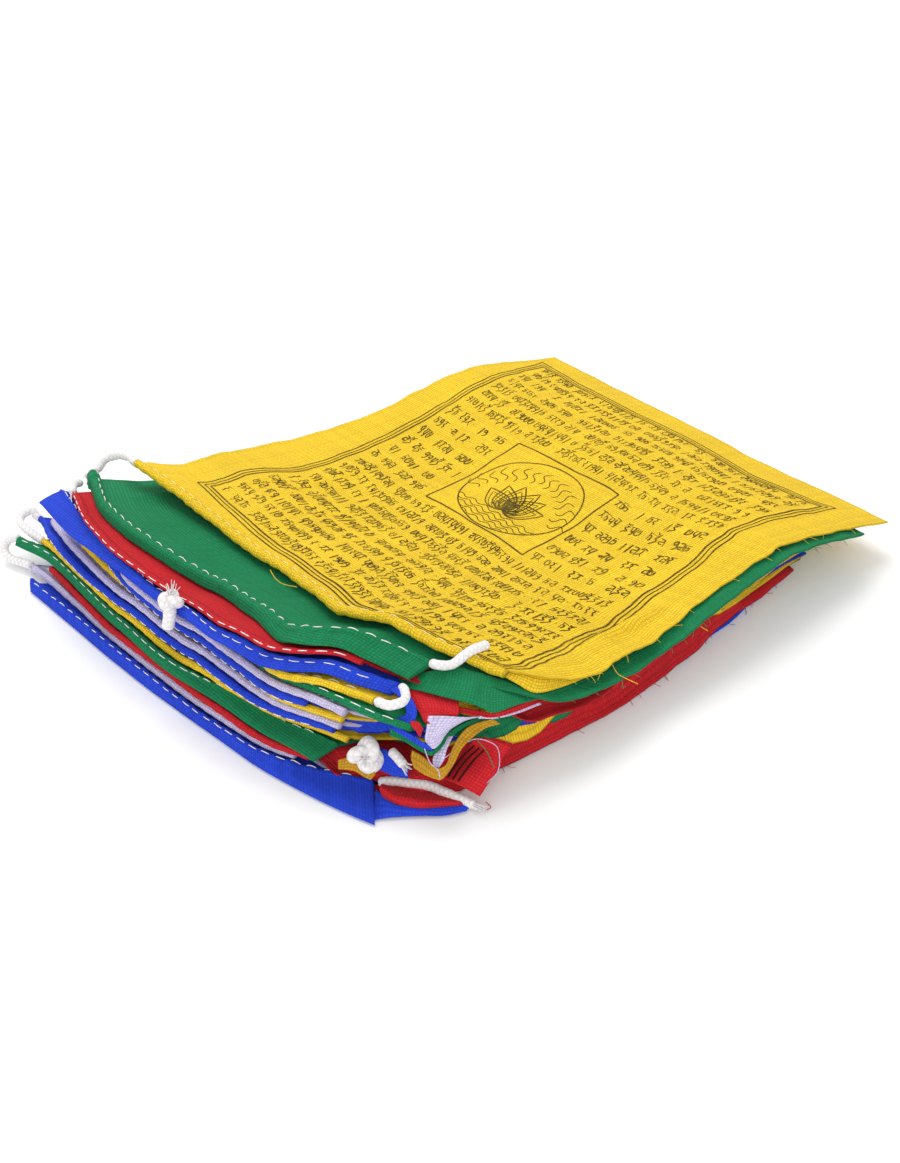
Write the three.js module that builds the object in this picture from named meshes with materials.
// A string of cotton prayer flags, folded up into one loose pile with its hem cord.
// Millimetres, +Z up. X runs along the hems, Y from the hems to the far edges, and the
// pile lies on Z = 0. Flags are listed from the bottom of the pile to its top.
import * as THREE from 'three';

// Cloth and cord
const CLOTH = 1.0;
const GAP = 0.3;
const HEM_GAP = 0.62;
const CORD_DIAMETER = 3.4;
const CORD_SIDES = 8;
const CORD_STEP = CORD_DIAMETER * 1.2;
const CORD_FEWEST_STEPS = 4;
const CORD_END_GAP = 0.5;
const CORD_LEAD = 2;
const FLAG_DEPTH = 214;
const CLOTH_ROUGHNESS = 0.85;
const CORD_ROUGHNESS = 0.8;

// Pile: the sheets fan out from their common level up to the staircase of hems
const FAN_END_Y = 110;
const FAN_POWER = 1.6;
const PITCH = CLOTH + GAP;

// A roll on a lapped hem sits this share of its radius above the cloth, and the lap's
// fold is rounded over this share of the cloth's thickness
const ROLL_SEAT = 0.8;
const FOLD_SHARE = 0.4;

// Past its right end a hem takes up less height: the fade starts and ends this far out
const END_HOLD = 1;
const END_FADE = 32;
const END_RADIUS = 0.95;

// Soft roll across the pile under the upper flags, and the sag of the far ends
const ROLL_HEIGHT = 8;
const ROLL_WIDTH = 30;
const ROLL_Y_LEFT = 158;
const ROLL_Y_RIGHT = 126;
const SAG_START_Y = 160;
const SAG_LEFT = 1.5;
const SAG_RIGHT = 6.5;
const SAG_SPAN_Y = 36;
const PILE_LEFT = -92;
const PILE_RIGHT = 96;

// The pile's own middle, which becomes the origin
const MIDDLE_X = -25.31;
const MIDDLE_Y = 69.78;

// Columns of the hem tables: places along X
const HEM_X = [-140, -120, -90, -60, -30, 0, 30, 60, 90];
// Columns of the edge tables: share of the way from hem to far edge
const EDGE_SHARE = [0, 0.06, 0.16, 0.5, 1];

const COLOURS = {
  yellow: 0xf3cf35,
  green: 0x17875b,
  red: 0xc62128,
  white: 0xd5cce8,
  blue: 0x2c4cd0,
  cord: 0xeee9ea,
};

// name, colour, hem roll radius, hemY at HEM_X, left and right edge X at EDGE_SHARE,
// lift of the hem at HEM_X where it rides loose, and lip, the cloth that laps out past
// the hem roll before it turns back under, at HEM_X
const FLAGS = [
  {
    name: 'flag_blue_4', colour: 'blue', radius: 1.35,
    hemY: [-53, -54.5, -56.4, -59, -61, -61.5, -59, -44, -32],
    left: [-120, -108, -102, -98, -90],
    right: [62, 88, 90, 90, 80],
    lip: [2.4, 2.4, 3, 3, 2.4, 2.4, 4.5, 17, 18], shear: 0.85,
  },
  {
    name: 'flag_white_4', colour: 'white', radius: 1.35,
    hemY: [-48.5, -48.5, -51.6, -55.5, -57.5, -58.3, -56, -46, -33],
    left: [-128, -112, -103, -96, -88],
    right: [36, 56, 84, 89, 79],
  },
  {
    name: 'flag_red_4', colour: 'red', radius: 1.35,
    hemY: [-45, -45.5, -51, -55.6, -57, -58.5, -57.3, -48, -31],
    left: [-118, -108, -102, -98, -89],
    right: [43, 62, 95, 93, 81],
  },
  {
    name: 'flag_green_4', colour: 'green', radius: 1.35,
    hemY: [-46, -43.5, -48.3, -53, -56, -53, -49.5, -43, -28],
    left: [-139, -117, -106, -97, -88],
    right: [48, 53, 84, 88, 80],
    lip: [2.2, 2.2, 2.4, 2.6, 3, 5.5, 8.5, 12, 13],
  },
  {
    name: 'flag_yellow_4', colour: 'yellow', radius: 1.35,
    hemY: [-39, -42, -47.5, -51, -52.5, -53.5, -50, -42, -26.5],
    left: [-130, -112, -104, -99, -90],
    right: [52, 66, 86, 89, 82],
  },
  {
    name: 'flag_blue_3', colour: 'blue', radius: 1.35,
    hemY: [-33, -41.5, -48.3, -50.5, -51, -54.5, -52, -42.5, -25],
    left: [-142, -118, -106, -96, -89],
    right: [48, 61, 84, 87, 81],
  },
  {
    name: 'flag_white_3', colour: 'white', radius: 1.35,
    hemY: [-30, -38, -45, -49, -49.5, -52, -51.8, -43.5, -23.5],
    left: [-134, -114, -103, -98, -87],
    right: [51, 64, 85, 86, 82],
  },
  {
    name: 'flag_yellow_3', colour: 'yellow', radius: 1.3,
    hemY: [-29, -35, -42, -46, -46.5, -49.5, -52.5, -43, -22],
    left: [-104, -103, -101, -97, -90],
    right: [52, 66, 84, 88, 84],
  },
  {
    name: 'flag_blue_2', colour: 'blue', radius: 1.35,
    hemY: [-27, -32, -40, -48.5, -49.5, -52.5, -54, -44.5, -21],
    left: [-100, -100, -100, -98, -88],
    right: [40, 66, 85, 86, 82],
  },
  {
    name: 'flag_white_2', colour: 'white', radius: 1.35,
    hemY: [-24, -29, -37, -49, -49.5, -52, -53.5, -46, -24],
    left: [-98, -99, -99, -97, -89],
    right: [55, 78, 87, 88, 84],
  },
  {
    name: 'flag_green_2', colour: 'green', radius: 1.35,
    hemY: [-22, -26.5, -34, -46, -46.7, -49.5, -51, -44.5, -28],
    left: [-99, -99, -99, -96, -88],
    right: [75, 84, 88, 87, 85],
  },
  {
    name: 'flag_yellow_2', colour: 'yellow', radius: 1.35,
    hemY: [-20, -24, -31, -43, -44, -47, -53.5, -39.5, -22],
    left: [-97, -98, -98, -98, -89],
    right: [60, 76, 87, 87, 86],
  },
  {
    name: 'flag_blue_1', colour: 'blue', radius: 1.35,
    hemY: [-30, -35, -45, -52, -53, -55, -50, -31.5, -18],
    left: [-123, -112, -103, -97, -88],
    right: [62, 76, 88, 89, 85],
    lift: [0, 0, 0, 0, 0, 0, 0.2, 0.5, 0.3],
    lip: [11, 10, 7, 3, 2.4, 3.5, 5, 4, 3],
  },
  {
    name: 'flag_red_1', colour: 'red', radius: 1.35,
    hemY: [-29, -31.5, -45, -52, -51.3, -54, -49.5, -28, -13],
    left: [-114, -108, -103, -98, -89],
    right: [50, 68, 90, 90, 86],
    lift: [0, 0, 0, 0, 0, 0, 0.2, 0.65, 0.3],
  },
  {
    name: 'flag_green_1', colour: 'green', radius: 1.8,
    hemY: [-16, -21.5, -36.5, -41, -38.5, -40.5, -42, -19.5, -8],
    left: [-119, -110, -104, -98, -87],
    right: [64, 84, 97, 98, 99],
    lip: [2.4, 2.4, 2.4, 2.4, 2.6, 3, 6, 10, 12],
    rolled: 0.92, stations: 17,
  },
  {
    name: 'flag_yellow_1', colour: 'yellow', radius: 1.8,
    hemY: [-6, -8, -9.5, -12, -13.8, -17, -21, -10.5, 3],
    left: [-107, -103, -104, -99, -84],
    right: [82, 91, 95, 92, 96],
    lift: [6, 6, 5, 3.5, 3, 2.6, 2, 1.5, 1],
    rolled: 1, stations: 19,
  },
];

// Stations across each flag, bunched towards its edges, and the shares of its depth
// at which the rows lie
const PLAIN_STATIONS = 16;
const END_BUNCHING = 0.35;
const PLAIN_ROWS = [0.012, 0.05, 0.13, 0.25, 0.4, 0.6, 0.78, 0.9, 1];
const ROLLED_ROWS = [
  0.012, 0.05, 0.1, 0.16, 0.24, 0.32, 0.4, 0.48, 0.56, 0.63, 0.7, 0.77, 0.84, 0.92, 1,
];
const ROLL_DEGREES = [20, 73, 127, 180, 233, 287, 340];
const LAPPED_ROLL_DEGREES = [-35, 20, 75, 130];

// Curve through (columns, values) with slopes taken from the neighbours
function along(columns, values, at) {
  const last = columns.length - 1;
  const x = Math.min(Math.max(at, columns[0]), columns[last]);
  let k = 0;
  while (k < last - 1 && x > columns[k + 1]) k += 1;
  const slope = (n) => {
    const a = Math.max(n - 1, 0);
    const b = Math.min(n + 1, last);
    return (values[b] - values[a]) / (columns[b] - columns[a]);
  };
  const span = columns[k + 1] - columns[k];
  const t = (x - columns[k]) / span;
  const s = t * t * (3 - 2 * t);
  return values[k] + (values[k + 1] - values[k]) * s
    + span * (slope(k) * t * (1 - t) * (1 - t) - slope(k + 1) * t * t * (1 - t));
}

// How far the fan has risen at y, before it is scaled to each flag
function fanAt(y) {
  return Math.max(FAN_END_Y - y, 0) ** FAN_POWER;
}

// Radius of a flag's hem at x: the roll, fading past its right end
function radiusAt(flag, x) {
  const past = THREE.MathUtils.smoothstep(x, flag.right[0] + END_HOLD, flag.right[0] + END_HOLD + END_FADE);
  return THREE.MathUtils.lerp(flag.radius, END_RADIUS, past);
}

// The hems of all flags across the pile at x: each rests on those below it
function pileAt(x) {
  const hems = [];
  FLAGS.forEach((flag, index) => {
    const y = along(HEM_X, flag.hemY, x);
    const level = CLOTH / 2 + PITCH * index;
    const lip = flag.lip ? along(HEM_X, flag.lip, x) : 0;
    const radius = radiusAt(flag, x);
    const half = lip > 0 ? CLOTH / 2 : radius;
    const outer = y - lip;
    let z = Math.max(level, half);
    for (const low of hems) {
      const reach = half + low.radius + HEM_GAP;
      const fan = fanAt(y) / fanAt(low.y);
      const over = low.roll + low.radius + HEM_GAP + CLOTH / 2;
      if (low.y > y) z = Math.max(z, level + (over - level) * fan);
      if (lip > 0) {
        if (low.y > outer - reach && low.y <= y) z = Math.max(z, low.roll + reach);
        const under = fanAt(Math.max(outer, low.y));
        if (low.y < y) z = Math.max(z, low.level + low.fan * under + PITCH);
      } else {
        const dy = Math.abs(y - low.y);
        if (dy < reach) z = Math.max(z, low.roll + Math.sqrt(reach * reach - dy * dy));
        const sheet = low.level + low.fan * fanAt(y);
        if (low.y < y) z = Math.max(z, sheet + CLOTH / 2 + HEM_GAP + half);
        if (low.lip > 0 && y < low.y && y > low.y - low.lip - half) {
          const share = Math.max(0, 1 - (low.y - y) / low.lip);
          z = Math.max(z, low.z + CLOTH / 2 + (low.roll - low.z) * share + HEM_GAP + half);
        }
      }
      z = Math.max(z, level + low.fan * fanAt(y));
    }
    z += flag.lift ? along(HEM_X, flag.lift, x) : 0;
    const roll = lip > 0 ? z + CLOTH / 2 + radius * ROLL_SEAT : z;
    hems.push({ y, z, level, lip, roll, radius, fan: (z - level) / fanAt(y) });
  });
  return hems;
}

// Height of the sheet's middle surface for flag number index
function sheetHeight(index, x, y) {
  const flag = FLAGS[index];
  const hem = pileAt(x)[index];
  const across = THREE.MathUtils.clamp((x - PILE_LEFT) / (PILE_RIGHT - PILE_LEFT), 0, 1);
  const sag = THREE.MathUtils.lerp(SAG_LEFT, SAG_RIGHT, across)
    * (Math.max(y - SAG_START_Y, 0) / SAG_SPAN_Y) ** 1.5;
  const rollY = THREE.MathUtils.lerp(ROLL_Y_LEFT, ROLL_Y_RIGHT, across);
  const roll = (flag.rolled ?? 0) * ROLL_HEIGHT * Math.exp(-(((y - rollY) / ROLL_WIDTH) ** 2) / 2);
  return Math.max(hem.level + hem.fan * fanAt(y) + roll - sag, CLOTH / 2);
}

// The hem's outline at x as [y, z, push along X], from the sheet's top round the roll
// to its underside
function hemOutline(index, x) {
  const hem = pileAt(x)[index];
  const point = (degrees) => {
    const a = THREE.MathUtils.degToRad(degrees);
    return [hem.y + hem.radius * Math.cos(a), hem.roll + hem.radius * Math.sin(a), 0];
  };
  if (hem.lip > 0) {
    const fold = hem.y - hem.lip;
    const push = (FLAGS[index].shear ?? 0) * hem.lip;
    return [
      ...LAPPED_ROLL_DEGREES.map(point),
      [fold + CLOTH * FOLD_SHARE, hem.z + CLOTH / 2, push],
      [fold, hem.z, push],
      [fold + CLOTH * FOLD_SHARE, hem.z - CLOTH / 2, push],
      [hem.y, hem.z - CLOTH / 2, 0],
    ];
  }
  return ROLL_DEGREES.map(point);
}

// One flag as a closed loft: rings across the pile, from its left edge to its right
function flagGeometry(index) {
  const flag = FLAGS[index];
  const stations = flag.stations ?? PLAIN_STATIONS;
  const rows = flag.rolled ? ROLLED_ROWS : PLAIN_ROWS;
  const positions = [];
  let hemCount = 0;
  for (let j = 0; j < stations; j += 1) {
    const even = j / (stations - 1);
    const s = THREE.MathUtils.lerp(even, (1 - Math.cos(Math.PI * even)) / 2, END_BUNCHING);
    const hemX = THREE.MathUtils.lerp(flag.left[0], flag.right[0], s);
    const hemY = along(HEM_X, flag.hemY, hemX);
    const outline = hemOutline(index, hemX);
    hemCount = outline.length;
    for (const [y, z, push] of outline) positions.push(hemX + push, y, z);
    const sheet = rows.map((share) => {
      const left = along(EDGE_SHARE, flag.left, share);
      const right = along(EDGE_SHARE, flag.right, share);
      const x = THREE.MathUtils.lerp(left, right, s);
      const start = hemY + flag.radius;
      const y = THREE.MathUtils.lerp(start, farEdge(index), share);
      return [x, y, sheetHeight(index, x, y)];
    });
    for (const [x, y, z] of sheet) positions.push(x, y, z - CLOTH / 2);
    for (const [x, y, z] of sheet.reverse()) positions.push(x, y, z + CLOTH / 2);
  }
  const ring = hemCount + 2 * rows.length;
  const faces = [];
  for (let j = 0; j < stations - 1; j += 1) {
    for (let k = 0; k < ring; k += 1) {
      const a = j * ring + k;
      const b = j * ring + (k + 1) % ring;
      faces.push(a, b, b + ring, a, b + ring, a + ring);
    }
  }
  const cap = (start, flip) => {
    const add = (a, b, c) => {
      if (flip) faces.push(start + a, start + c, start + b);
      else faces.push(start + a, start + b, start + c);
    };
    for (let k = 1; k < hemCount - 1; k += 1) add(0, k + 1, k);
    add(0, hemCount, hemCount - 1);
    add(0, ring - 1, hemCount);
    for (let k = 0; k < rows.length - 1; k += 1) {
      const low = hemCount + k;
      const high = ring - 1 - k;
      add(low, high, low + 1);
      add(low + 1, high, high - 1);
    }
  };
  cap(0, false);
  cap((stations - 1) * ring, true);
  const geometry = new THREE.BufferGeometry();
  geometry.setAttribute('position', new THREE.Float32BufferAttribute(positions, 3));
  geometry.setIndex(faces);
  geometry.computeVertexNormals();
  return geometry;
}

// Flags are cut to one depth, so a hem that lies further out has its far edge nearer
function farEdge(index) {
  const hemY = FLAGS[index].hemY;
  const mean = hemY.reduce((sum, y) => sum + y, 0) / hemY.length;
  return mean + FLAG_DEPTH;
}

const group = new THREE.Group();

function addMesh(name, geometry, colour, roughness) {
  const material = new THREE.MeshStandardMaterial({
    color: COLOURS[colour], roughness, metalness: 0, side: THREE.DoubleSide,
  });
  const mesh = new THREE.Mesh(geometry, material);
  mesh.name = name;
  mesh.position.set(-MIDDLE_X, -MIDDLE_Y, 0);
  group.add(mesh);
}

FLAGS.forEach((flag, index) => {
  addMesh(flag.name, flagGeometry(index), flag.colour, CLOTH_ROUGHNESS);
});

// Where the cord comes out of a hem roll's end: a point just outside it, and one further out
function hemEnd(name, side) {
  const index = FLAGS.findIndex((flag) => flag.name === name);
  const x = side === 'left' ? FLAGS[index].left[0] : FLAGS[index].right[0];
  const hem = pileAt(x)[index];
  const out = side === 'left' ? -1 : 1;
  const start = [x + out * CORD_END_GAP, hem.y, hem.roll];
  const lead = [x + out * (CORD_END_GAP + CORD_LEAD), hem.y, hem.roll];
  return [start, lead];
}

// Exposed lengths of the hem cord: a start, hand-placed points, and an end
const CORDS = [
  {
    name: 'cord_loop_top_left',
    route: [
      ...hemEnd('flag_yellow_1', 'left'), [-114, -7.4, 41.4], [-119.6, -8.6, 40.6], [-123.6, -12, 38.4],
      [-124, -15.6, 35.6], ...hemEnd('flag_green_1', 'left').reverse(),
    ],
  },
  {
    name: 'cord_loop_red_left',
    route: [[-115, -33.6, 35.8], [-117, -32.6, 36.2], [-119.6, -30, 36.2], [-120.8, -26, 35]],
  },
  {
    name: 'cord_end_green_right',
    route: [
      ...hemEnd('flag_green_1', 'right'), [69.4, -13.4, 39.4], [70.8, -9, 41.4], [71, -5.4, 42],
      [71.2, -1.4, 41.6], [71.3, 2, 40.9],
    ],
  },
  {
    name: 'cord_turn_blue_right',
    route: [
      ...hemEnd('flag_blue_1', 'right'), [67.6, -32.6, 35], [68.4, -35.6, 35], [66.6, -38.8, 34.6],
      [62.8, -39.5, 34], [60.8, -39.5, 33.8],
    ],
  },
  {
    name: 'cord_turn_blue_left',
    route: [
      ...hemEnd('flag_blue_3', 'left'), [-147, -34, 14.2], [-148, -37.6, 13.2], [-145.4, -40.6, 12.4],
      [-139, -41.4, 12], ...hemEnd('flag_yellow_4', 'left').reverse(),
    ],
  },
  {
    name: 'cord_turn_green_left',
    route: [
      ...hemEnd('flag_green_4', 'left'), [-144.4, -47.6, 7.4], [-144, -50, 4.6], [-139, -50.6, 2.8],
      ...hemEnd('flag_white_4', 'left').reverse(),
    ],
  },
  {
    name: 'cord_end_low_right',
    route: [[66, -39.9, 15.5], [68.8, -40.7, 15.1], [72.2, -42.5, 14.3]],
  },
  {
    name: 'cord_tail',
    route: [
      [64.2, -42.6, 3.1], [67.4, -38.6, 3.05], [72, -35.2, 3.05], [77.6, -31.8, 3.05], [82.4, -30.6, 3.0],
      [88, -29.4, 2.9], [94.4, -27.4, 2.2],
    ],
  },
];

// A round cord swept along its route
function cordGeometry(route) {
  const curve = new THREE.CatmullRomCurve3(route.map((p) => new THREE.Vector3(...p)));
  const section = new THREE.Shape();
  for (let k = 0; k < CORD_SIDES; k += 1) {
    const a = (2 * Math.PI * k) / CORD_SIDES;
    const x = (CORD_DIAMETER / 2) * Math.cos(a);
    const y = (CORD_DIAMETER / 2) * Math.sin(a);
    if (k === 0) section.moveTo(x, y);
    else section.lineTo(x, y);
  }
  section.closePath();
  const steps = Math.max(CORD_FEWEST_STEPS, Math.round(curve.getLength() / CORD_STEP));
  return new THREE.ExtrudeGeometry(section, { steps, extrudePath: curve, curveSegments: 1 });
}

CORDS.forEach(({ name, route }) => addMesh(name, cordGeometry(route), 'cord', CORD_ROUGHNESS));

// Knots tied in the cord's ends. at is the middle of the knot's foot, tilt is in degrees
// about X, Y and Z, and profile is radius and height up the knot's own axis
const KNOTS = [
  {
    name: 'knot_on_hems', at: [-24.6, -59.4, 30], tilt: [-9, 3, 0],
    profile: [
      [0, 0], [2.3, 0], [2.3, 7.6], [4, 9], [4.7, 12], [3.8, 14.6], [2.2, 16.2], [0, 16.6],
    ],
  },
  {
    name: 'knot_right', at: [53.9, -49.3, 17.4], tilt: [0, 102, 45],
    profile: [
      [0, 0], [2.6, 0.4], [4.8, 2.4], [5.5, 5.6], [4.5, 8.4], [4.9, 11], [3.4, 13.4], [0, 14],
    ],
  },
];
const KNOT_SIDES = 10;

function knotGeometry({ at, tilt, profile }) {
  const outline = profile.map(([r, z]) => new THREE.Vector2(r, z));
  const geometry = new THREE.LatheGeometry(outline, KNOT_SIDES);
  geometry.rotateX(Math.PI / 2);
  const turn = new THREE.Euler(...tilt.map(THREE.MathUtils.degToRad), 'ZYX');
  geometry.applyQuaternion(new THREE.Quaternion().setFromEuler(turn));
  geometry.translate(...at);
  return geometry;
}

KNOTS.forEach((knot) => addMesh(knot.name, knotGeometry(knot), 'cord', CORD_ROUGHNESS));

export default group;
